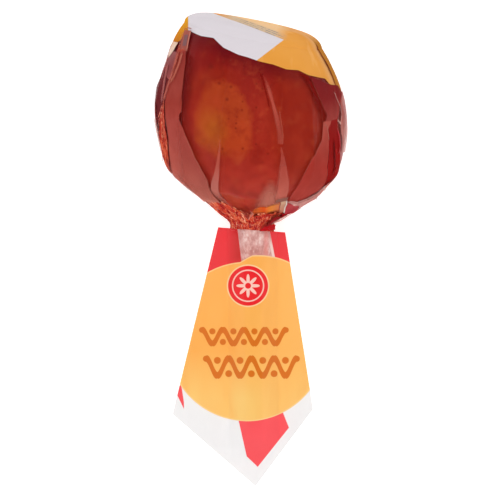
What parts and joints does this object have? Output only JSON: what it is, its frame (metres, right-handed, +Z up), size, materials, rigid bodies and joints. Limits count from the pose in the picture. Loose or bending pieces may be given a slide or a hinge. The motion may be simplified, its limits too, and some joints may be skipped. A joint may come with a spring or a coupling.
{
  "type": "wrapped toffee apple",
  "caption": "Toffee-coated apple on a round wooden stick, wrapped in clear printed film that is gathered at the neck and hangs over the stick as a flat kite-shaped tail.",
  "frame": {"origin": "on the floor, on the small flat spot that the head rests on, straight below the middle of the apple", "axes": "+Z up, +Y from the stick's end to the apple's flat toffee foot, +X to the right as seen from above"},
  "size_m": [0.0694, 0.1696, 0.0695],
  "materials": {
    "toffee_in_film": "glossy dark toffee under clear printed film",
    "pale_wood": "plain smooth wood"
  },
  "bodies": {
    "root": {"wrapper": "toffee_in_film", "stick": "pale_wood"}
  },
  "joints": []
}
